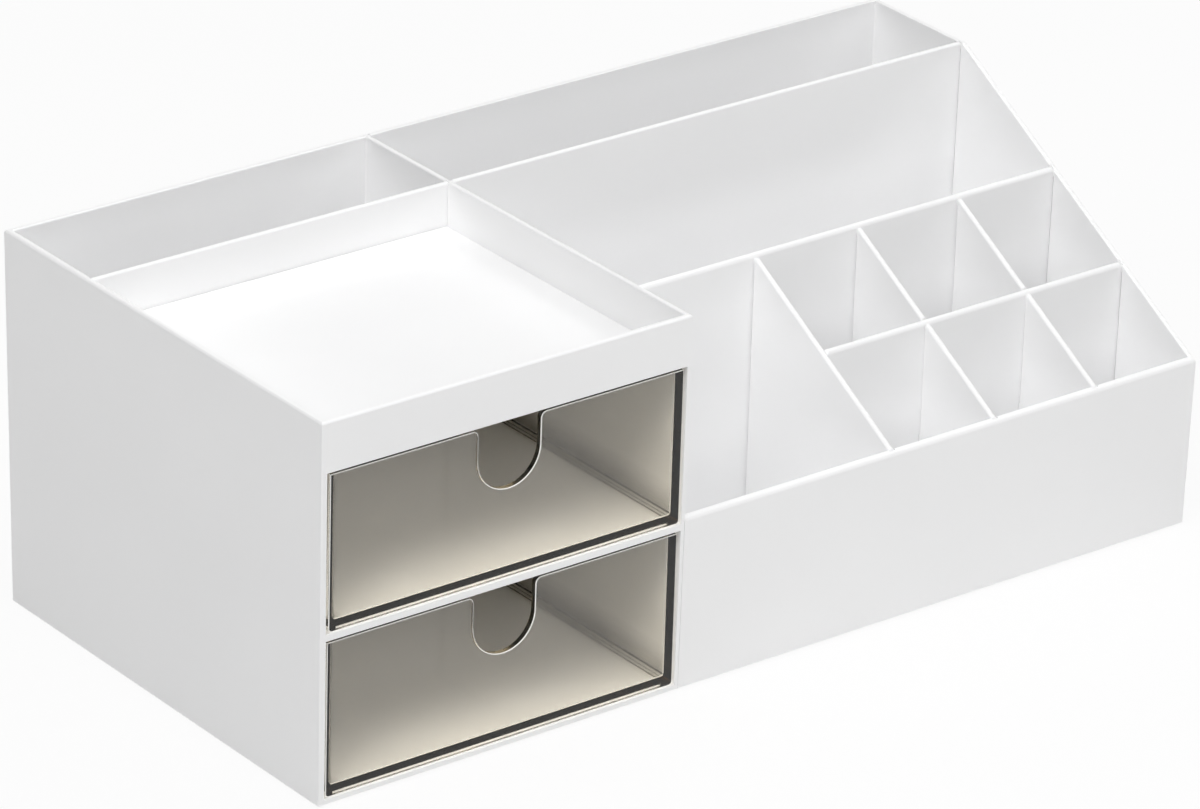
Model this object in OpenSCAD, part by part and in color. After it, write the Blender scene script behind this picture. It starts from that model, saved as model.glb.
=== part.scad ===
// Desk organizer: a two-drawer tower beside an open caddy with loose dividers.
// Units are millimetres. Z is up, the front faces -Y, and the origin is the middle
// of the underside, at the level of the foot pads.
//
// The outer walls lean inwards by a small amount towards the bottom, so a place
// on a leaning wall is given where the wall meets the top, and the lean is added.

/* [Overall size] */
// Width over both outer side walls, at the top
body_w = 320; // [280:1:360]
// Depth over the front and back walls, at the top
body_d = 155.6; // [145:0.1:180]
// Height of the mouldings, without the foot pads
body_h = 117.4; // [100:0.1:140]
// Distance that each outer wall leans inwards at the bottom
wall_lean = 1.2; // [0:0.1:1.6]

/* [Walls] */
// Thickness of the outer side walls and the back wall
wall_t = 2; // [1.6:0.1:3]
// Thickness of the floor of the tower and of the caddy
floor_t = 1.5; // [1.4:0.1:3.5]
// Thickness of the caddy's low front wall
front_wall_t = 1.7; // [1.4:0.1:3]
// Gap along the line where the tower meets the caddy
seam_gap = 0.15; // [0.05:0.05:0.4]

/* [Tower] */
// Width of the tower, outer wall to caddy
tower_w = 126.6; // [110:0.1:140]
// Thickness of the tower's inner side wall at the tray and the rear well
inner_wall_t = 1.9; // [1.5:0.1:2.6]
// Thickness of the same wall beside the drawer bays
bay_wall_t = 1.2; // [1:0.1:1.8]
// Thickness of the shelf between the two bays
shelf_t = 2.1; // [1.8:0.1:4]

/* [Tray] */
// Height of the rail across the front of the tray, down to the upper bay
rail_h = 15.6; // [8:0.1:24]
// Thickness of the rail
rail_t = 1.8; // [1.4:0.1:3]
// Thickness of the loose tray floor
tray_floor_t = 1.1; // [0.8:0.1:2]
// Clearance round the tray floor
tray_fit = 0.3; // [0.1:0.05:0.5]
// Thickness of the ledges that the tray floor rests on
ledge_t = 1; // [0.8:0.1:2]
// Width of the ledges
ledge_w = 3; // [2:0.1:6]

/* [Caddy] */
// Height of the caddy's front wall
front_wall_h = 53.3; // [40:0.1:60]
// Distance from the upper end of the sloped edge to the rear divider
slope_lead = 0.6; // [0.2:0.1:10]
// Distance from the front to the rear partition and the rear divider
rear_divider_y = 112.8; // [100:0.1:122]
// Distance from the front to the middle divider
middle_divider_y = 67.1; // [55:0.1:75]
// Distance from the front to the row divider
row_divider_y = 33.9; // [26:0.1:40]
// Distance from the outer left to the left column divider
first_column_x = 202.5; // [185:0.1:215]
// Distance from one column divider to the next
column_pitch = 38.7; // [30:0.1:44]

/* [Dividers] */
// Thickness of the plates that run from side to side
plate_t = 1.7; // [1.4:0.1:2.4]
// Thickness of the column dividers
column_t = 1.9; // [1.4:0.1:2.4]
// Depth of the grooves that hold the plates' edges
groove_d = 0.6; // [0.3:0.1:0.8]
// Clearance between a plate and its groove or slot
slot_fit = 0.1; // [0.05:0.01:0.2]
// Width of the relief beside a plate, below the rim
corner_gap = 0.6; // [0.2:0.1:0.8]
// Height of the rim above the relief
rim_h = 2; // [1:0.1:4]

/* [Drawers] */
// Thickness of a drawer's front panel
panel_t = 2; // [1.6:0.1:3]
// Thickness of a drawer's side and back walls
drawer_wall_t = 2; // [1.2:0.1:3]
// Thickness of a drawer's floor
drawer_floor_t = 2; // [1:0.1:2.4]
// Height of the two runners under a drawer
runner_h = 0.7; // [0.5:0.1:2]
// Width of a runner, from the drawer's side
runner_w = 3.2; // [2.6:0.1:8]
// Radius of a drawer's outer lower corners
drawer_corner_r = 1.2; // [0.5:0.1:2.1]
// Radius of the inner edges at the back of a drawer's front panel
drawer_front_r = 0.8; // [0.5:0.1:2]
// Radius of the inner edges round the rest of its floor and up its rear corners
drawer_inner_r = 1.5; // [0.5:0.1:4]
// Distance from the tower's front face to a drawer's front panel
drawer_recess = 0.6; // [0.3:0.1:2]
// Gap between a drawer and the bay's inner side wall
drawer_side_gap = 0.6; // [0.3:0.1:1.5]
// Gap between a drawer and the foot of the leaning outer side wall
drawer_outer_gap = 0.6; // [0.4:0.1:3]
// Gap between a drawer and the partition behind it, at the least
drawer_rear_gap = 0.6; // [0.4:0.1:3]
// Gap above a drawer
drawer_top_gap = 1.1; // [0.4:0.1:3]
// Gap between a drawer's runners and the surface under them
drawer_run_gap = 0.2; // [0.1:0.05:0.5]

/* [Finger notch] */
// Radius of the round bottom of the notch
notch_r = 10.7; // [8:0.1:14]
// Depth of the notch below the drawer's top edge
notch_depth = 20.2; // [14:0.1:26]
// Radius of the notch's two upper corners
notch_corner_r = 2; // [0.5:0.1:4]

/* [Joint between tower and caddy] */
// Length of the tongue on the caddy's floor
tongue_l = 4; // [2:0.1:8]
// Thickness of the tongue
tongue_t = 0.6; // [0.4:0.1:1]
// Distance from the front to the tongue
tongue_y = 45; // [30:1:55]
// Width of the tongue
tongue_w = 60; // [30:1:65]

/* [Foot pads] */
// Diameter of a foot pad
pad_d = 9; // [6:0.1:14]
// Thickness of a foot pad
pad_t = 1.4; // [1.2:0.1:2]
// Depth of the seat for a foot pad
pad_seat_d = 0.6; // [0.3:0.1:0.8]
// Clearance round a foot pad in its seat
pad_fit = 0.1; // [0.05:0.05:0.3]
// Distance from the body's top outline to the middle of a pad
pad_inset = 14; // [10:1:20]

/* [Hidden] */
$fn = 64;

// Length by which a cut runs past the surface that it opens
over = 1;
// Length by which a cut runs into the next one
overlap = 0.01;

// Height of the foot pads below the mouldings
pad_drop = pad_t - pad_seat_d;
// Height of the rail's lower edge, which is the top of the upper bay
rail_z = body_h - rail_h;
// Clear height of each drawer bay
bay_h = (rail_z - floor_t - shelf_t) / 2;
// Heights of the two bays' floors
lower_bay_z = floor_t;
upper_bay_z = rail_z - bay_h;
// Height of the tray floor's upper face
tray_z = rail_z + ledge_t + tray_floor_t;
// Faces of the tower's inner wall
bay_right_x = tower_w - bay_wall_t;
well_right_x = tower_w - inner_wall_t;
// Left face of the caddy
caddy_x = tower_w + seam_gap;
// Distance from the front at which the sloped edge reaches the full height
slope_end_y = rear_divider_y - slope_lead;
// Left face of a drawer
drawer_x = wall_t + wall_lean + drawer_outer_gap;
// Width, length and height of a drawer, runners included
drawer_w = bay_right_x - drawer_side_gap - drawer_x;
drawer_l = rear_divider_y - wall_lean - drawer_recess - drawer_rear_gap;
drawer_h = bay_h - drawer_run_gap - drawer_top_gap;
// Left faces of the three column dividers
column_xs = [for (i = [0 : 2]) first_column_x + i * column_pitch];
// Colours of the mouldings
WHITE = [0.94, 0.94, 0.94];
SMOKE = [0.60, 0.57, 0.50, 0.55];
PAD = [0.82, 0.82, 0.80];

// Distance that an outer wall has leant in at a height
function lean(z) = wall_lean * (1 - z / body_h);

// Height of the sloped top edge at a distance from the front
function edge_z(y) = min(body_h, front_wall_h + (body_h - front_wall_h) * y / slope_end_y);

// A profile in X and Z, drawn out along Y
module along_y(y0, y1)
    translate([0, y1, 0])
        rotate([90, 0, 0])
            linear_extrude(y1 - y0) children();

// A profile in Y and Z, drawn out along X
module along_x(x0, x1)
    translate([x0, 0, 0])
        rotate([90, 0, 90])
            linear_extrude(x1 - x0) children();

// A block between two places on each axis. The flags in leans say which of its
// left, right, front and back faces follow the lean of the outer walls.
module leaning_block(x, y, z, leans) {
    low = lean(z[0]);
    high = lean(z[1]);
    intersection() {
        along_y(y[0], y[1])
            polygon([
                [x[0] + leans[0] * low, z[0]],
                [x[1] - leans[1] * low, z[0]],
                [x[1] - leans[1] * high, z[1]],
                [x[0] + leans[0] * high, z[1]]
            ]);
        along_x(x[0], x[1])
            polygon([
                [y[0] + leans[2] * low, z[0]],
                [y[1] - leans[3] * low, z[0]],
                [y[1] - leans[3] * high, z[1]],
                [y[0] + leans[2] * high, z[1]]
            ]);
    }
}

// A flat rectangle from one corner to the other
module rectangle(low, high)
    translate(low) square(high - low);

// A pair of places for foot pads, front and rear, at each place along the width
module at_pads(xs)
    for (x = xs, y = [pad_inset, body_d - pad_inset])
        translate([x, y, 0]) children();

module pad_seat()
    translate([0, 0, -over])
        cylinder(h = over + pad_seat_d, d = pad_d + 2 * pad_fit);

// The groove for the edges of a plate that faces the front at y
module plate_groove(x, y, leans)
    leaning_block(x, [y - slot_fit, y + plate_t + slot_fit], [floor_t, body_h + over], leans);

// The relief in the right wall in front of a plate at y, from the floor to the rim
module corner_relief(x, y)
    leaning_block(x, [y - corner_gap, y], [floor_t, edge_z(y) - rim_h], [0, 1, 0, 0]);

// The tower's shell: both side walls, back, floor, shelf, front rail and ledges
module tower_housing()
    color(WHITE)
    difference() {
        leaning_block([0, tower_w], [0, body_d], [0, body_h], [1, 0, 1, 1]);
        // Drawer bays
        for (z = [lower_bay_z, upper_bay_z])
            leaning_block(
                [wall_t, bay_right_x], [-over, rear_divider_y + overlap],
                [z, z + bay_h], [1, 0, 0, 0]
            );
        // Tray, and the opening between the ledges under it
        leaning_block(
            [wall_t, well_right_x], [rail_t, rear_divider_y + overlap],
            [tray_z - tray_floor_t, body_h + over], [1, 0, 1, 0]
        );
        leaning_block(
            [wall_t + ledge_w, well_right_x - ledge_w],
            [rail_t + ledge_w, rear_divider_y + overlap],
            [rail_z - overlap, tray_z], [1, 0, 1, 0]
        );
        // Rear well, open to the bays until the partition is in
        leaning_block(
            [wall_t, well_right_x], [rear_divider_y, body_d - wall_t],
            [floor_t, body_h + over], [1, 0, 0, 1]
        );
        plate_groove(
            [wall_t - groove_d, well_right_x + groove_d], rear_divider_y, [1, 0, 0, 0]
        );
        // Slot for the caddy's tongue
        translate([tower_w - tongue_l - slot_fit, tongue_y - slot_fit, (floor_t - tongue_t) / 2 - slot_fit])
            cube([tongue_l + slot_fit + over, tongue_w + 2 * slot_fit, tongue_t + 2 * slot_fit]);
        at_pads([pad_inset, tower_w - pad_inset]) pad_seat();
    }

// The plate behind the drawer bays, held by grooves in both side walls
module tower_partition()
    color(WHITE)
    leaning_block(
        [wall_t - groove_d + slot_fit, well_right_x + groove_d - slot_fit],
        [rear_divider_y, rear_divider_y + plate_t], [floor_t, body_h], [1, 0, 0, 0]
    );

// The tray's floor, which rests on the ledges
module tray_floor()
    color(WHITE)
    leaning_block(
        [wall_t + tray_fit, well_right_x - tray_fit],
        [rail_t + tray_fit, rear_divider_y - tray_fit],
        [tray_z - tray_floor_t, tray_z], [1, 0, 1, 0]
    );

// The caddy: floor, low front wall, sloped right wall and back wall
module caddy_tub() {
    inner_right_x = body_w - wall_t;
    groove_x = [inner_right_x - 2 * wall_t, inner_right_x + groove_d];
    color(WHITE)
    difference() {
        intersection() {
            leaning_block([caddy_x, body_w], [0, body_d], [0, body_h], [0, 1, 1, 1]);
            along_x(caddy_x, body_w)
                polygon([
                    [0, 0], [body_d, 0], [body_d, body_h],
                    [slope_end_y, body_h], [0, front_wall_h]
                ]);
        }
        leaning_block(
            [caddy_x - over, inner_right_x], [front_wall_t, body_d - wall_t],
            [floor_t, body_h + over], [0, 1, 1, 1]
        );
        for (y = [rear_divider_y, middle_divider_y, row_divider_y]) {
            plate_groove(groove_x, y, [0, 1, 0, 0]);
            corner_relief(groove_x, y);
        }
        for (x = column_xs)
            leaning_block(
                [x - slot_fit, x + column_t + slot_fit],
                [front_wall_t - groove_d, front_wall_t + 2 * wall_lean + over],
                [floor_t, body_h], [0, 0, 1, 0]
            );
        at_pads([body_w - pad_inset]) pad_seat();
    }
    // Tongue, with its root inside the floor
    color(WHITE)
    translate([tower_w - tongue_l, tongue_y, (floor_t - tongue_t) / 2])
        cube([tongue_l + seam_gap + wall_t, tongue_w, tongue_t]);
}

// A plate across the caddy from x to the right wall's groove. Its top follows
// the sloped edge.
module cross_plate(x, y)
    intersection() {
        leaning_block(
            [x, body_w - wall_t + groove_d - slot_fit], [y, y + plate_t],
            [floor_t, body_h], [0, 1, 0, 0]
        );
        along_x(x, body_w)
            polygon([
                [y, floor_t], [y + plate_t, floor_t],
                [y + plate_t, edge_z(y + plate_t)], [y, edge_z(y)]
            ]);
    }

module rear_divider()
    color(WHITE)
    cross_plate(caddy_x, rear_divider_y);

module middle_divider()
    color(WHITE)
    cross_plate(caddy_x, middle_divider_y);

// Height at which the row divider and a column divider change places
lap_z = (floor_t + edge_z(row_divider_y)) / 2;

// The row divider has slots from below that straddle two of the columns
module row_divider()
    color(WHITE)
    difference() {
        cross_plate(first_column_x + column_t + slot_fit, row_divider_y);
        for (x = [column_xs[1], column_xs[2]])
            translate([x - slot_fit, row_divider_y - over, floor_t - over])
                cube([column_t + 2 * slot_fit, plate_t + 2 * over, lap_z - floor_t + over]);
    }

// A column divider from the front wall's groove to the middle divider. Below the
// rim its rear end stands off the middle divider by the corner gap.
module column_divider(x, slotted) {
    front_y = front_wall_t - groove_d + slot_fit;
    rear_y = middle_divider_y - slot_fit;
    relief_y = middle_divider_y - corner_gap;
    difference() {
        along_x(x, x + column_t)
            polygon([
                [front_y + lean(floor_t), floor_t],
                [relief_y, floor_t],
                [relief_y, edge_z(relief_y) - rim_h],
                [rear_y, edge_z(rear_y) - rim_h],
                [rear_y, edge_z(rear_y)],
                [front_y + lean(front_wall_h), edge_z(front_y + lean(front_wall_h))]
            ]);
        if (slotted)
            translate([x - over, row_divider_y - slot_fit, lap_z - slot_fit])
                cube([column_t + 2 * over, plate_t + 2 * slot_fit, body_h]);
    }
}

module column_divider_left()
    color(WHITE)
    column_divider(column_xs[0], false);

module column_divider_centre()
    color(WHITE)
    column_divider(column_xs[1], true);

module column_divider_right()
    color(WHITE)
    column_divider(column_xs[2], true);

// A rectangle with a radius for each corner: the one at low, then on along the
// first axis and round. A radius of 0 leaves a corner square.
module rounded(low, high, radii) {
    corners = [low, [high[0], low[1]], high, [low[0], high[1]]];
    inwards = [[1, 1], [-1, 1], [-1, -1], [1, -1]];
    difference() {
        rectangle(low, high);
        for (i = [0 : 3])
            if (radii[i] > 0) {
                middle = corners[i] + radii[i] * inwards[i];
                cut = radii[i] + over;
                difference() {
                    translate(middle - cut / 2 * inwards[i]) square(cut, center = true);
                    translate(middle) circle(radii[i]);
                }
            }
    }
}

// The U-shaped finger notch in a drawer's front panel, in X and Z
module notch_profile() {
    mouth = notch_r + notch_corner_r;
    translate([drawer_w / 2, drawer_h]) {
        translate([0, notch_r - notch_depth]) circle(notch_r);
        rectangle([-notch_r, notch_r - notch_depth], [notch_r, over]);
        difference() {
            rectangle([-mouth, -notch_corner_r], [mouth, over]);
            for (x = [-mouth, mouth])
                translate([x, -notch_corner_r]) circle(notch_corner_r);
        }
    }
}

// The inside of a drawer. Its edges at the front panel have the smaller radius, and
// those round the rest of the floor and up the rear corners have the larger one.
module drawer_inside(x, y, z) {
    front = drawer_front_r;
    rear = drawer_inner_r;
    intersection() {
        along_y(y[0], y[1]) rounded([x[0], z[0]], [x[1], z[1]], [rear, rear, 0, 0]);
        along_x(x[0], x[1]) rounded([y[0], z[0]], [y[1], z[1]], [front, rear, 0, 0]);
        translate([0, 0, z[0]])
            linear_extrude(z[1] - z[0])
                rounded([x[0], y[0]], [x[1], y[1]], [front, front, rear, rear]);
    }
}

// One clear drawer, with its front lower left corner at the origin. Its front panel
// reaches down as far as the two runners.
module drawer() {
    corner_r = drawer_corner_r;
    color(SMOKE)
    difference() {
        along_y(0, drawer_l)
            rounded([0, 0], [drawer_w, drawer_h], [corner_r, corner_r, 0, 0]);
        drawer_inside(
            [drawer_wall_t, drawer_w - drawer_wall_t],
            [panel_t, drawer_l - drawer_wall_t],
            [runner_h + drawer_floor_t, drawer_h + over]
        );
        // Space between the two runners, behind the panel
        translate([runner_w, panel_t, -over])
            cube([drawer_w - 2 * runner_w, drawer_l, runner_h + over]);
        along_y(-over, panel_t + over) notch_profile();
    }
}

// A drawer in the bay whose floor is at z
module drawer_in_bay(z)
    translate([drawer_x, lean(z + bay_h / 2) + drawer_recess, z + drawer_run_gap])
        drawer();

module upper_drawer() drawer_in_bay(upper_bay_z);

module lower_drawer() drawer_in_bay(lower_bay_z);

// The soft pads that the organizer stands on
module foot_pads()
    color(PAD)
    at_pads([pad_inset, tower_w - pad_inset, body_w - pad_inset])
        translate([0, 0, -pad_drop]) cylinder(h = pad_t, d = pad_d);

// Puts the origin in the middle of the underside
module in_frame()
    translate([-body_w / 2, -body_d / 2, pad_drop]) children();

in_frame() tower_housing();
in_frame() tower_partition();
in_frame() tray_floor();
in_frame() caddy_tub();
in_frame() rear_divider();
in_frame() middle_divider();
in_frame() row_divider();
in_frame() column_divider_left();
in_frame() column_divider_centre();
in_frame() column_divider_right();
in_frame() upper_drawer();
in_frame() lower_drawer();
in_frame() foot_pads();
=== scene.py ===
# %% [markdown]
# A makeup organizer: a white tower with a tray and two clear drawers, beside an open caddy.
# The CAD model gives every piece its place and size. This lesson gives the pieces the soft
# edges and the plastics of real mouldings, and sets up a plain studio round them.

import math

import bmesh
import bpy
from mathutils import Matrix, Vector


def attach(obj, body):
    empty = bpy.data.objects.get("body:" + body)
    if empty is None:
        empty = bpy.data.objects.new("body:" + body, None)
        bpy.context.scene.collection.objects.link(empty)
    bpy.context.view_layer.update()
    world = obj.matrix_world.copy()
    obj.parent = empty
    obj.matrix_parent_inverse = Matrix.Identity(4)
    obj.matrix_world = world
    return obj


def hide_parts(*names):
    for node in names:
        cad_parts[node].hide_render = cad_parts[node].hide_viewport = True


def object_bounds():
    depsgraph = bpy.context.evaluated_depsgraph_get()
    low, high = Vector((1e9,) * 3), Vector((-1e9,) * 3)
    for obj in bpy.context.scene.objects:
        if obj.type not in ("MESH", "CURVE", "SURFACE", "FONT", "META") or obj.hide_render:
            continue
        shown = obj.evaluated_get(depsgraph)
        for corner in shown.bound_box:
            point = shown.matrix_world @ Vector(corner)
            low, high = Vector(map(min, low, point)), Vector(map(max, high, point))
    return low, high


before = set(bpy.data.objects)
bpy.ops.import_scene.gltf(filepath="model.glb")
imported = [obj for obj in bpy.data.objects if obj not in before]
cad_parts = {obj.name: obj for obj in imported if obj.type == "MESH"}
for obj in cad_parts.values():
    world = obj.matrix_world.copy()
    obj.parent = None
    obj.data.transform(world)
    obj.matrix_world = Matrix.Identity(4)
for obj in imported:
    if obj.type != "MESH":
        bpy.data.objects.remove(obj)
cad_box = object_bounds()
low, high = (Vector(corner) for corner in cad_box)
MM = 0.001
print("nodes:", ", ".join(sorted(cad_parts)))
print("size in mm:", [round(side / MM, 1) for side in high - low])

# %% [markdown]
# The camera stands to the front left and well above the organizer, far away with a long
# lens, so that the upright edges stay almost parallel. An orthographic camera would make
# them quite parallel, but then the far walls would not come out smaller than the near ones.
# The camera leans a little to one side, which a level camera could not show.

# %% Camera
CAMERA_PLACE = Vector((-1.1729, -1.4891, 0.9380))
CAMERA_LOOKS_ALONG = Vector((0.55920, 0.71263, -0.42362))
CAMERA_ROLL = math.radians(1.743)
CAMERA_LENS_MM = 214.8
CAMERA_SENSOR_MM = 36
CAMERA_REACH = 50

camera_data = bpy.data.cameras.new("camera")
camera_data.lens = CAMERA_LENS_MM
camera_data.sensor_width = CAMERA_SENSOR_MM
camera_data.clip_end = CAMERA_REACH
camera = bpy.data.objects.new("camera", camera_data)
bpy.context.collection.objects.link(camera)
aim = CAMERA_LOOKS_ALONG.to_track_quat("-Z", "Y").to_matrix().to_4x4()
lean = Matrix.Rotation(CAMERA_ROLL, 4, "Z")
camera.matrix_world = Matrix.Translation(CAMERA_PLACE) @ aim @ lean
bpy.context.scene.camera = camera
print("camera is", round((CAMERA_PLACE - (low + high) / 2).length, 2), "m from the organizer")

# %% [markdown]
# A material is a small network of nodes. The helpers below each add a few nodes and hand
# back the socket that the next step needs. A painted picture could carry the same detail,
# but then every piece would have to be unwrapped first. A noise in the object's own space
# needs no unwrapping, and its grain has one size on every piece.

# %% Helpers: a new material and a noise
def new_material(name):
    """A material with a plain Principled shader, its node tree and the shader."""
    material = bpy.data.materials.new(name)
    material.use_nodes = True
    tree = material.node_tree
    return material, tree, tree.nodes["Principled BSDF"]


def noise(tree, size_mm, detail=2.0):
    """A noise with features of about this size, in the object's own space."""
    place = tree.nodes.new("ShaderNodeTexCoord")
    texture = tree.nodes.new("ShaderNodeTexNoise")
    texture.inputs["Scale"].default_value = 1 / (size_mm * MM)
    texture.inputs["Detail"].default_value = detail
    tree.links.new(place.outputs["Object"], texture.inputs["Vector"])
    return texture.outputs["Fac"]


# %% Helpers: what a noise is turned into
NOISE_LOW = 0.3
NOISE_HIGH = 0.7


def spread(tree, value, lowest, highest):
    """Turns the usual values of a noise into a range of other values."""
    ranged = tree.nodes.new("ShaderNodeMapRange")
    ranged.inputs["From Min"].default_value = NOISE_LOW
    ranged.inputs["From Max"].default_value = NOISE_HIGH
    ranged.inputs["To Min"].default_value = lowest
    ranged.inputs["To Max"].default_value = highest
    tree.links.new(value, ranged.inputs["Value"])
    return ranged.outputs["Result"]


def tint_between(tree, value, dark, light):
    """A colour that runs from dark to light as the noise rises."""
    ramp = tree.nodes.new("ShaderNodeValToRGB")
    ramp.color_ramp.elements[0].position = NOISE_LOW
    ramp.color_ramp.elements[0].color = (*dark, 1)
    ramp.color_ramp.elements[1].position = NOISE_HIGH
    ramp.color_ramp.elements[1].color = (*light, 1)
    tree.links.new(value, ramp.inputs["Fac"])
    return ramp.outputs["Color"]


def grain_bump(tree, shader, value, height_mm):
    """Raises the surface by a noise."""
    bump = tree.nodes.new("ShaderNodeBump")
    bump.inputs["Strength"].default_value = 1
    bump.inputs["Distance"].default_value = height_mm * MM
    tree.links.new(value, bump.inputs["Height"])
    tree.links.new(bump.outputs["Normal"], shader.inputs["Normal"])


# %% [markdown]
# White satin plastic is almost one colour, but not quite. The mould leaves a very fine
# grain, so the gloss is broken up, and thick and thin places come out a shade apart.
# One flat colour would look drawn. So a slow noise varies the colour by a hundredth,
# a second noise varies the gloss, and a fine one makes the grain.

# %% White plastic
PLASTIC_IOR = 1.49
WHITE_THICK = (0.942, 0.942, 0.944)
WHITE_THIN = (0.962, 0.962, 0.964)
WHITE_CLOUD_MM = 40
WHITE_ROUGHNESS = (0.40, 0.50)
WHITE_GLOSS_PATCH_MM = 6
WHITE_GRAIN_MM = 0.35
WHITE_GRAIN_HEIGHT_MM = 0.006
GRAIN_DETAIL = 3


def white_plastic():
    """The satin finish of the white mouldings."""
    material, tree, shader = new_material("white_satin_plastic")
    shader.inputs["IOR"].default_value = PLASTIC_IOR
    colour = tint_between(tree, noise(tree, WHITE_CLOUD_MM), WHITE_THICK, WHITE_THIN)
    tree.links.new(colour, shader.inputs["Base Color"])
    gloss = spread(tree, noise(tree, WHITE_GLOSS_PATCH_MM), *WHITE_ROUGHNESS)
    tree.links.new(gloss, shader.inputs["Roughness"])
    grain = noise(tree, WHITE_GRAIN_MM, GRAIN_DETAIL)
    grain_bump(tree, shader, grain, WHITE_GRAIN_HEIGHT_MM)
    return material


WHITE = white_plastic()
print("made", WHITE.name, "with a grain", WHITE_GRAIN_HEIGHT_MM, "mm high")

# %% [markdown]
# The drawers are clear plastic with a warm grey tint. Real clear plastic darkens with the
# length of the way that light takes through it. A look through a thin wall stays light,
# while a look into the end of a wall runs along it and comes out almost black. A volume
# that absorbs light does this by itself, which a tinted surface cannot.
#
# The rims of the front panel are a little matt, as trimmed edges are, so they catch the
# light as fine pale lines. A soft dark band of painted shade lies where a side wall meets
# the floor: the colour of the plastic is darkened there. The top edge of the panel, which
# the eye sees end on, is darkened by painted shade as well.
#
# Separate pieces for the rims and the bands would cut the volume open. So the mesh says how
# matt each place is and how much shade is painted on it, in two attributes that the material
# reads, and one closed piece with one material is the whole drawer.

# %% Helpers: a mark on the mesh and a mix of shaders
def mark_on_mesh(tree, name):
    """A value from 0 to 1 that the mesh carries."""
    mark = tree.nodes.new("ShaderNodeAttribute")
    mark.attribute_name = name
    return mark.outputs["Fac"]


def mix_shaders(tree, amount, first, second):
    """Goes from the first shader to the second as the amount rises."""
    mix = tree.nodes.new("ShaderNodeMixShader")
    tree.links.new(amount, mix.inputs["Fac"])
    tree.links.new(first, mix.inputs[1])
    tree.links.new(second, mix.inputs[2])
    return mix.outputs["Shader"]


# %% Painted shade in corners, smoke and matt rims in clear plastic
# The mesh attribute that says where shade is painted, and the colours of that painted shade.
PAINTED_SHADE_MARK = "corner"
NO_PAINTED_SHADE = (1, 1, 1, 1)
PAINTED_SHADE_COLOUR = (0.25, 0.245, 0.235, 1)
SMOKE_COLOUR = (0.83, 0.69, 0.36, 1)
SMOKE_DENSITY = 40
RIM = "rim"
RIM_COLOUR = (0.97, 0.96, 0.93, 1)
RIM_ROUGHNESS = 0.4


def paint_shade_in_corners(tree, shader):
    """Paints shade into the shader's colour where the mesh marks it."""
    mark = mark_on_mesh(tree, PAINTED_SHADE_MARK)
    tint = tree.nodes.new("ShaderNodeValToRGB")
    tint.color_ramp.elements[0].color = NO_PAINTED_SHADE
    tint.color_ramp.elements[1].color = PAINTED_SHADE_COLOUR
    tree.links.new(mark, tint.inputs["Fac"])
    tree.links.new(tint.outputs["Color"], shader.inputs["Base Color"])


def smoke_inside(tree):
    """A volume that takes light away, and least of it from the red."""
    smoke = tree.nodes.new("ShaderNodeVolumeAbsorption")
    smoke.inputs["Color"].default_value = SMOKE_COLOUR
    smoke.inputs["Density"].default_value = SMOKE_DENSITY
    return smoke.outputs["Volume"]


def with_matt_rims(tree, clear):
    """A clear shader that turns matt where the mesh marks a rim."""
    matt = tree.nodes.new("ShaderNodeBsdfPrincipled")
    matt.inputs["Base Color"].default_value = RIM_COLOUR
    matt.inputs["Roughness"].default_value = RIM_ROUGHNESS
    mark = mark_on_mesh(tree, RIM)
    return mix_shaders(tree, mark, clear, matt.outputs["BSDF"])


# %% [markdown]
# The light of a lamp could find its way through the clear walls by chance alone, which
# takes long and leaves bright specks. So the plastic is fully clear to the rays that look
# for a lamp, and the bays behind the drawers are lit evenly.

# %% Smoky clear plastic
SMOKY_ROUGHNESS = 0.07
FULLY_CLEAR = (1, 1, 1, 1)


def let_lamps_through(tree, surface):
    """A surface that the rays on their way to a lamp do not meet."""
    lit_through = tree.nodes.new("ShaderNodeBsdfTransparent")
    lit_through.inputs["Color"].default_value = FULLY_CLEAR
    to_lamp = tree.nodes.new("ShaderNodeLightPath").outputs["Is Shadow Ray"]
    return mix_shaders(tree, to_lamp, surface, lit_through.outputs["BSDF"])


def smoky_plastic():
    """The clear, warm grey finish of the drawers."""
    material, tree, shader = new_material("smoky_clear_plastic")
    shader.inputs["IOR"].default_value = PLASTIC_IOR
    shader.inputs["Transmission Weight"].default_value = 1
    shader.inputs["Roughness"].default_value = SMOKY_ROUGHNESS
    paint_shade_in_corners(tree, shader)
    smoke = smoke_inside(tree)
    edged = with_matt_rims(tree, shader.outputs["BSDF"])
    surface = let_lamps_through(tree, edged)
    output = tree.nodes["Material Output"]
    tree.links.new(surface, output.inputs["Surface"])
    tree.links.new(smoke, output.inputs["Volume"])
    return material


SMOKE = smoky_plastic()
print("made", SMOKE.name, "with", len(SMOKE.node_tree.nodes), "nodes")

# %% [markdown]
# Small soft pads under the floor keep the organizer from sliding. Rubber is duller than
# the moulding and coarser to the touch. The same helpers make it, with a patchier grey,
# a high roughness and a deeper grain.

# %% Pale rubber
RUBBER_DARK = (0.60, 0.60, 0.58)
RUBBER_LIGHT = (0.66, 0.66, 0.64)
RUBBER_PATCH_MM = 2
RUBBER_ROUGHNESS = 0.8
RUBBER_GRAIN_MM = 0.3
RUBBER_GRAIN_HEIGHT_MM = 0.02


def pad_rubber():
    """The dull finish of the foot pads."""
    material, tree, shader = new_material("pale_pad_rubber")
    colour = tint_between(tree, noise(tree, RUBBER_PATCH_MM), RUBBER_DARK, RUBBER_LIGHT)
    tree.links.new(colour, shader.inputs["Base Color"])
    shader.inputs["Roughness"].default_value = RUBBER_ROUGHNESS
    grain = noise(tree, RUBBER_GRAIN_MM, GRAIN_DETAIL)
    grain_bump(tree, shader, grain, RUBBER_GRAIN_HEIGHT_MM)
    return material


PAD = pad_rubber()
print("made", PAD.name, "with a grain", RUBBER_GRAIN_HEIGHT_MM, "mm high")

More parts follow.
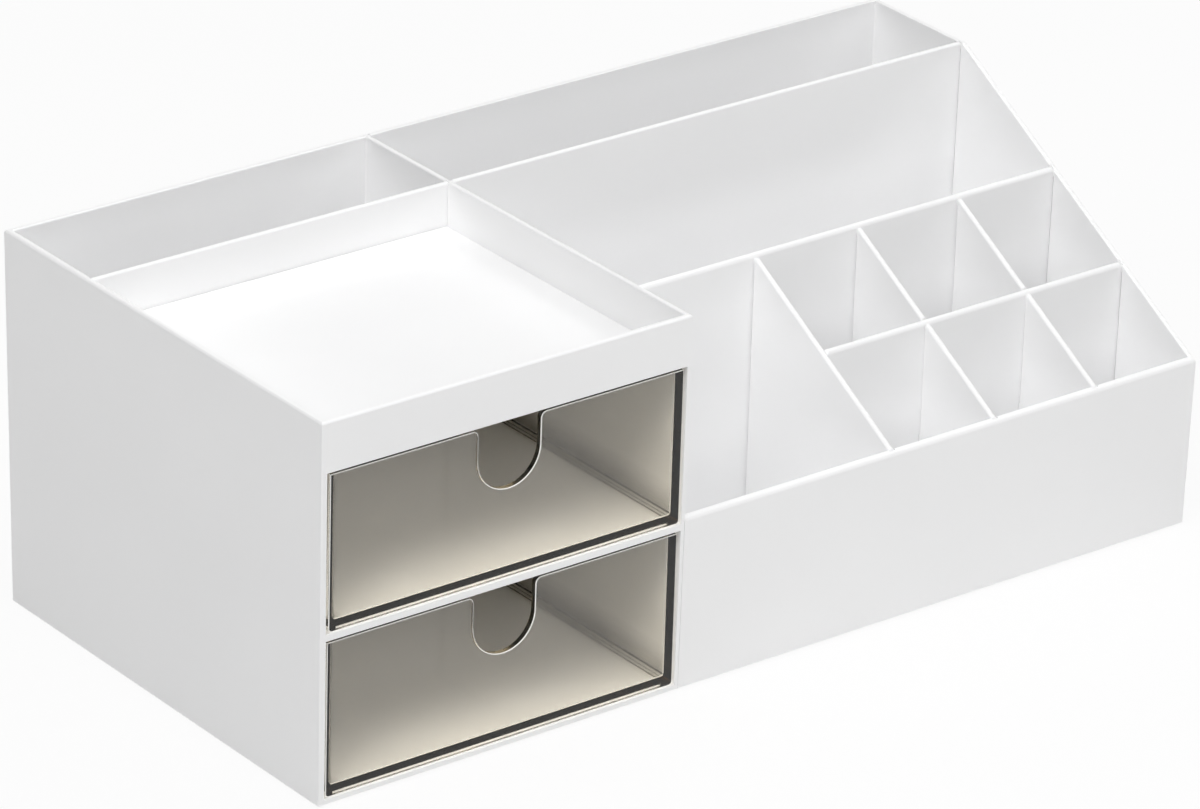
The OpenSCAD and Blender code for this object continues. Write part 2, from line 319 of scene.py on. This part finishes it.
# %% [markdown]
# No moulded edge is quite sharp. Each CAD piece is copied, its flat faces are joined up
# again, and its edges are rounded. The top edges of the walls are rounded most, because
# hands meet them. They catch the light as the bright lines that make thin walls readable.
#
# Three passes of the bevel tool do this: the outline of a piece's top, the inner rims, and
# then the other edges. The inner rims get less, because the shallow grooves that hold the
# dividers cut into them, and a wider bevel would fold over at the grooves. A bevel modifier
# gives every edge one width unless edges are marked by hand, and a bevel shader would leave
# the shape itself sharp.
#
# The tool keeps one rounding from running into the next, and it holds a whole pass to the
# tightest place in it. So each radius below is the most that an edge can get. Where grooves
# and rims lie close together, on the tower's housing and the caddy's tub, the last pass
# comes out at less than 0.05 mm and only breaks the edges.

# %% Which edges are rims
SHARP = math.radians(25)
# These three are compared with one part of a face's normal, whose length is 1.
LOOKS_UP = 0.5
UPRIGHT = 0.3
LOOKS_ASIDE = 0.9
OUTLINE_SLACK = 0.5 * MM


def is_rim(edge, from_height):
    """Whether an outward edge runs along the top of a wall above some height."""
    if len(edge.link_faces) != 2 or edge.calc_face_angle_signed() < SHARP:
        return False
    tops = max(face.normal.z for face in edge.link_faces) > LOOKS_UP
    walls = min(abs(face.normal.z) for face in edge.link_faces) < UPRIGHT
    return tops and walls and min(v.co.z for v in edge.verts) > from_height


def on_outline(edge, lowest, highest):
    """Whether an edge lies on the outer left, right, front or back side of its piece."""
    place = (edge.verts[0].co + edge.verts[1].co) / 2
    for axis in (0, 1):
        faces_side = max(abs(face.normal[axis]) for face in edge.link_faces) > LOOKS_ASIDE
        gap = min(place[axis] - lowest[axis], highest[axis] - place[axis])
        if faces_side and gap < OUTLINE_SLACK:
            return True
    return False


# %% Joining up and rounding
FLAT = math.radians(1)
MERGE_WITHIN = 0.002 * MM
OUTLINE_RADIUS_MM = 0.8
RIM_RADIUS_MM = 0.5
RIM_STEPS = 5
EDGE_STEPS = 3
LONG = 3 * MM


def joined_up(source):
    """A form of a CAD piece in its place, each of its flat faces in one."""
    form = bmesh.new()
    form.from_mesh(source.data)
    form.transform(source.matrix_world)
    bmesh.ops.remove_doubles(form, verts=form.verts, dist=MERGE_WITHIN)
    bmesh.ops.dissolve_limit(form, angle_limit=FLAT, verts=form.verts, edges=form.edges)
    return form


def round_edges(form, edges, radius_mm, steps):
    """Rounds edges to a radius, or to less where the tightest place allows no more."""
    bmesh.ops.bevel(
        form, geom=edges, offset=radius_mm * MM, offset_type="OFFSET",
        segments=steps, profile=0.5, affect="EDGES", clamp_overlap=True,
        harden_normals=False,
    )


def round_rims(form, from_height):
    """Rounds the outline of a piece's top, and then the rims inside it."""
    corners = [
        Vector(pick(v.co[axis] for v in form.verts) for axis in range(3))
        for pick in (min, max)
    ]
    outline = [e for e in form.edges if is_rim(e, from_height) and on_outline(e, *corners)]
    round_edges(form, outline, OUTLINE_RADIUS_MM, RIM_STEPS)
    rims = [e for e in form.edges if is_rim(e, from_height) and e.calc_length() > LONG]
    round_edges(form, rims, RIM_RADIUS_MM, RIM_STEPS)
    print("rounded", len(outline), "outline edges and", len(rims), "inner rims")


def round_the_rest(form, radius_mm):
    """Rounds every edge that is still sharp, and clears away faces without an area."""
    edges = [e for e in form.edges if e.is_manifold and e.calc_face_angle() > SHARP]
    round_edges(form, edges, radius_mm, EDGE_STEPS)
    bmesh.ops.remove_doubles(form, verts=form.verts, dist=MERGE_WITHIN)
    bmesh.ops.dissolve_degenerate(form, edges=form.edges, dist=MERGE_WITHIN)


# %% [markdown]
# The rounded strips and the flat faces are shaded as one smooth skin, as on a moulding.
# On its own that would spread the roundness over the flat faces and make them look
# swollen. Normals weighted by each face's area keep the large faces flat instead.

# %% A soft-edged copy that stands for a CAD piece
FAVOUR_LARGE_FACES = 100


def smooth_piece(form, name, material):
    """A smoothly shaded object, made from a form."""
    mesh = bpy.data.meshes.new(name)
    form.to_mesh(mesh)
    form.free()
    mesh.polygons.foreach_set("use_smooth", [True] * len(mesh.polygons))
    mesh.materials.append(material)
    piece = bpy.data.objects.new(name, mesh)
    bpy.context.collection.objects.link(piece)
    weighted = piece.modifiers.new("even_shading", "WEIGHTED_NORMAL")
    weighted.keep_sharp = True
    weighted.weight = FAVOUR_LARGE_FACES
    return piece


def soft_copy(node, name, body, material, radius_mm, rims_from=None, finish=None):
    """A copy of a CAD node with rounded edges, which stands for it."""
    print("making", name)
    form = joined_up(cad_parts[node])
    if rims_from is not None:
        round_rims(form, rims_from)
    round_the_rest(form, radius_mm)
    if finish:
        finish(form)
    piece = smooth_piece(form, name, material)
    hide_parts(node)
    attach(piece, body)
    print("made", len(piece.data.polygons), "faces")
    return piece


# %% [markdown]
# The tower is one tall moulding with a plate behind the drawers and a loose floor in its
# tray. Its rims could be picked one by one in Edit Mode. They all lie at the top, though, so
# a height is enough to find them, and the mouths of the drawers' bays keep a fine edge. The
# tray's floor lies between walls, so it has no rim that a hand would meet.

# %% Tower
TOWER_TOP = 110 * MM


def white_piece(node, radius_mm, rims_from=None):
    """A white moulding that stays with the organizer."""
    soft_copy(
        node, node + "_moulding", "organizer", WHITE, radius_mm, rims_from
    )


white_piece("tower_housing", radius_mm=0.2, rims_from=TOWER_TOP)
white_piece("tower_partition", radius_mm=0.3, rims_from=TOWER_TOP)
white_piece("tray_floor", radius_mm=0.25)

# %% [markdown]
# The caddy is an open tub with a sloping right wall, and six plates divide it. Its rims run
# down the slope to a low front wall, so they are looked for from lower down. The plates
# could be one piece with the tub. They are pieces of their own, as in the CAD model, so each
# keeps the fine dark line where it stands in its groove, and one loop makes them all.

# %% Caddy and its dividers
CADDY_RIMS = 30 * MM

white_piece("caddy_tub", radius_mm=0.35, rims_from=CADDY_RIMS)
for divider in (
    "rear_divider", "middle_divider", "row_divider",
    "column_divider_left", "column_divider_centre", "column_divider_right",
):
    white_piece(divider, radius_mm=0.3, rims_from=CADDY_RIMS)

# %% [markdown]
# The front outline of each drawer's panel is matt, and so is the finger notch in it. These
# faces could be picked by hand in Edit Mode, but their numbers would change with every new
# rounding. They are found by what they are instead: strips close to the front that look
# partly forwards, and neither straight to the front nor straight aside.

# %% Matt rims on the drawers
RIM_DEPTH = 0.35 * MM
STRAIGHT = 0.99
A_LITTLE = 0.02


def mark_rims(form):
    """Marks the rounded front outline of a drawer's panel, its notch included, as matt."""
    layer = form.faces.layers.float.new(RIM)
    front = min(v.co.y for v in form.verts)
    marked = 0
    for face in form.faces:
        near_front = face.calc_center_median().y - front < RIM_DEPTH
        if near_front and -STRAIGHT < face.normal.y < -A_LITTLE:
            face[layer] = 1.0
            marked += 1
    print("marked", marked, "faces as matt rims")


# %% [markdown]
# The painted shade is darkest in the fold between wall and floor, and fades out along both.
# Two short lists say how dark it is painted at which distance in millimetres. A painted mask
# could do this too, but a rule by distance is the same for both drawers. The mesh is cut
# where the shade changes, because a value can only run straight from one corner of a face
# to the next. Each corner of a face has a value of its own, so the panel and the back wall
# stay clear although they touch the places of painted shade.

# %% Painted shade in corners: shades and places
# How much shade is painted at each distance in mm from the fold.
WALL_SHADE = ((0, 1), (1.5, 1), (3.5, 0.75), (7, 0.25), (10, 0))
FLOOR_SHADE = ((0, 1), (1.5, 0.9), (3, 0.3), (5, 0))


def shade_at(profile, distance_mm):
    """The shade at a distance, along straight lines between a profile's points."""
    for (near, dark), (far, light) in zip(profile, profile[1:]):
        if distance_mm <= far:
            return dark + (light - dark) * (distance_mm - near) / (far - near)
    return 0.0


def widest(form, fits):
    """The middle of the face with the largest area among those that fit."""
    face = max((f for f in form.faces if fits(f)), key=lambda f: f.calc_area())
    return face.calc_center_median()


def inside_of(form):
    """The height of a drawer's floor, and where the inner sides of its walls are."""
    middle = sum(v.co.x for v in form.verts) / len(form.verts)

    def to_right(face):
        return face.normal.x > STRAIGHT and face.calc_center_median().x < middle

    def to_left(face):
        return face.normal.x < -STRAIGHT and face.calc_center_median().x > middle

    floor_z = widest(form, lambda face: face.normal.z > STRAIGHT).z
    left_x = widest(form, to_right).x
    right_x = widest(form, to_left).x
    print("floor is at", round(floor_z / MM, 2), "and side walls at",
          round(left_x / MM, 2), round(right_x / MM, 2), "mm")
    return floor_z, left_x, right_x


# %% Painted shade in corners: cuts where the shade changes
# The first two points of each list lie next to the fold and need no cut.
FIRST_CUT = 2
CUT_WITHIN = 0.001 * MM


def cut_bands(form, floor_z, left_x, right_x):
    """Cuts a drawer level above its floor, and upright beside its walls."""
    cuts = []
    for above, _ in WALL_SHADE[FIRST_CUT:]:
        cuts.append((Vector((0, 0, floor_z + above * MM)), Vector((0, 0, 1))))
    for aside, _ in FLOOR_SHADE[FIRST_CUT:]:
        for x in (left_x + aside * MM, right_x - aside * MM):
            cuts.append((Vector((x, 0, 0)), Vector((1, 0, 0))))
    for place, normal in cuts:
        bmesh.ops.bisect_plane(
            form, geom=form.verts[:] + form.edges[:] + form.faces[:],
            dist=CUT_WITHIN, plane_co=place, plane_no=normal,
        )
    print("cut the drawer along", len(cuts), "planes")


# %% Painted shade in corners: the shade itself
PANEL_THICKNESS = 2.1 * MM
PANEL_EDGE_FROM = 10 * MM
ACROSS = 0.1
NOT_BELOW = -0.01
SLACK_MM = 0.05


def on_panel_top(face, front, floor_z):
    """Whether a face belongs to the top edge of the front panel or its notch."""
    centre = face.calc_center_median()
    in_panel = centre.y - front < PANEL_THICKNESS
    return in_panel and face.normal.z > LOOKS_UP and centre.z - floor_z > PANEL_EDGE_FROM


def painted_shade_at(face, place, floor_z, left_x, right_x):
    """How much shade is painted inside a drawer at a place on one of its faces."""
    aside = min(place.x - left_x, right_x - place.x) / MM
    above = (place.z - floor_z) / MM
    across = abs(face.normal.y) < ACROSS
    to_inside = face.normal.z > NOT_BELOW
    if not (across and to_inside and aside > -SLACK_MM and above > -SLACK_MM):
        return 0.0
    if abs(face.normal.x) > STRAIGHT:
        return shade_at(WALL_SHADE, above)
    if aside < FLOOR_SHADE[-1][0]:
        return shade_at(FLOOR_SHADE, aside)
    return 0.0


def mark_painted_shade(form):
    """Marks the shade that is painted on the side walls near the floor and on the panel's top
    edge.
    """
    floor_z, left_x, right_x = inside_of(form)
    cut_bands(form, floor_z, left_x, right_x)
    # The panel's top edge gets the full painted shade, and the folds get their share of it.
    layer = form.loops.layers.float.new(PAINTED_SHADE_MARK)
    front = min(v.co.y for v in form.verts)
    for face in form.faces:
        top = on_panel_top(face, front, floor_z)
        for loop in face.loops:
            place = loop.vert.co
            loop[layer] = 1.0 if top else painted_shade_at(face, place, floor_z, left_x, right_x)


# %% [markdown]
# Both drawers are the same kind of moulding. A linked copy of one would do for a picture,
# but each has to slide by itself and stands for its own CAD piece, so a loop makes two. Each
# rides on its own body, which slides out to the front. The six pads are one piece, because
# they have one finish and never move.

# %% Drawers and pads
def mark_rims_and_painted_shade(form):
    """Marks the matt rims and the painted shade."""
    mark_rims(form)
    mark_painted_shade(form)


for node in ("upper_drawer", "lower_drawer"):
    soft_copy(
        node, node + "_moulding", node + "_body", SMOKE, radius_mm=0.25,
        finish=mark_rims_and_painted_shade,
    )
soft_copy("foot_pads", "foot_pads_soft", "organizer", PAD, radius_mm=0.3)

# %% [markdown]
# The organizer stands on a pale floor. A real studio would hang a roll of white paper that
# curves up behind it. Here the camera, gloss and clear plastic see the floor as almost
# plain white, so its far end vanishes without a curve. A small share of the floor's own
# colour is left in, so that the shadow under the organizer still shows.

# %% Helper: what is seen directly
def seen_directly(tree):
    """1 for what the camera, gloss and clear plastic see, and 0 for what lights the scene."""
    path = tree.nodes.new("ShaderNodeLightPath")
    total = path.outputs["Is Camera Ray"]
    for kind in ("Is Glossy Ray", "Is Transmission Ray"):
        either = tree.nodes.new("ShaderNodeMath")
        either.operation = "MAXIMUM"
        tree.links.new(total, either.inputs[0])
        tree.links.new(path.outputs[kind], either.inputs[1])
        total = either.outputs["Value"]
    return total


# %% Floor
FLOOR_SIDE = 12
FLOOR_COLOUR = (0.88, 0.88, 0.88, 1)
FLOOR_ROUGHNESS = 0.9
FLOOR_WHITE_SHARE = 0.9


def studio_floor():
    """A floor that is seen as almost plain white, and lit as a pale grey."""
    material, tree, shader = new_material("studio_floor")
    shader.inputs["Base Color"].default_value = FLOOR_COLOUR
    shader.inputs["Roughness"].default_value = FLOOR_ROUGHNESS
    white = tree.nodes.new("ShaderNodeEmission")
    white.inputs["Strength"].default_value = 1
    share = tree.nodes.new("ShaderNodeMath")
    share.operation = "MULTIPLY"
    share.inputs[1].default_value = FLOOR_WHITE_SHARE
    tree.links.new(seen_directly(tree), share.inputs[0])
    surface = mix_shaders(
        tree, share.outputs["Value"], shader.outputs["BSDF"], white.outputs["Emission"]
    )
    tree.links.new(surface, tree.nodes["Material Output"].inputs["Surface"])
    return material


half = FLOOR_SIDE / 2
floor_corners = [(-half, -half, 0), (half, -half, 0), (half, half, 0), (-half, half, 0)]
floor_mesh = bpy.data.meshes.new("floor")
floor_mesh.from_pydata(floor_corners, [], [(0, 1, 2, 3)])
floor_mesh.materials.append(studio_floor())
floor = bpy.data.objects.new("floor", floor_mesh)
bpy.context.collection.objects.link(floor)
print("floor is", FLOOR_SIDE, "m wide")

# %% [markdown]
# The sky is what clear plastic and gloss show where there is no floor. A picture of a studio
# could be wrapped round the scene, but then its lamps and corners would show in the drawers.
# A sky that is white to look at and dark as a light keeps them clean, and leaves the
# lighting to the lamps.

# %% Sky
world = bpy.data.worlds.new("studio_sky")
bpy.context.scene.world = world
world.use_nodes = True
sky = world.node_tree
dark_sky = sky.nodes["Background"]
dark_sky.inputs["Strength"].default_value = 0
white_sky = sky.nodes.new("ShaderNodeBackground")
white_sky.inputs["Strength"].default_value = 1
sky_surface = mix_shaders(
    sky, seen_directly(sky), dark_sky.outputs["Background"], white_sky.outputs["Background"]
)
sky.links.new(sky_surface, sky.nodes["World Output"].inputs["Surface"])
print("made", world.name, "with", len(sky.nodes), "nodes")

# %% [markdown]
# Thin white walls look white only if the light that falls into the deep wells comes out
# again. Most of it comes from a wide lamp overhead, which reaches the bottom of the wells,
# and from one on each side. Two small lamps at the front reach into the bays behind the
# clear drawers. One bright sun would be simpler to place, but it would leave hard shadows
# in every cell.

# %% Lamps
def soft_lamp(name, place, side, watts):
    """A large square lamp at a place, turned to the organizer."""
    data = bpy.data.lights.new(name, "AREA")
    data.size = side
    data.energy = watts
    lamp = bpy.data.objects.new(name, data)
    lamp.location = place
    lamp.rotation_euler = (-Vector(place)).to_track_quat("-Z", "Y").to_euler()
    bpy.context.collection.objects.link(lamp)
    print(name, "gives", watts, "W")


soft_lamp("overhead_softbox", place=(0, 0, 1.6), side=2.4, watts=19.3)
soft_lamp("left_softbox", place=(-1.5, -0.55, 1.7), side=1.2, watts=18.2)
soft_lamp("right_softbox", place=(1.4, -0.6, 1.8), side=1.2, watts=12.2)
soft_lamp("front_softbox", place=(-0.3, -1.7, 0.9), side=0.8, watts=5.6)
soft_lamp("low_softbox", place=(0, -1.7, 0.35), side=0.6, watts=1.45)

# %% [markdown]
# Light in a white well or a clear drawer bounces many times before it leaves. The renderer
# normally gives up after a few bounces, and then the wells turn grey towards the bottom
# and the drawers come out dark. Brighter lamps would only burn out the flat tray, so the
# light is followed for more bounces instead.

# %% Light that bounces often
LONGEST_PATH = 48
OFF_WHITE_WALLS = 20
OFF_GLOSS = 8

light_paths = bpy.context.scene.cycles
light_paths.max_bounces = LONGEST_PATH
light_paths.diffuse_bounces = OFF_WHITE_WALLS
light_paths.glossy_bounces = OFF_GLOSS
light_paths.transmission_bounces = LONGEST_PATH
light_paths.transparent_max_bounces = LONGEST_PATH
print("light is followed for", light_paths.max_bounces, "bounces")

# %% [markdown]
# Colours are shown as they are, without the soft curve of a film-like view.

# %% How colours are shown
bpy.context.scene.view_settings.view_transform = "Standard"
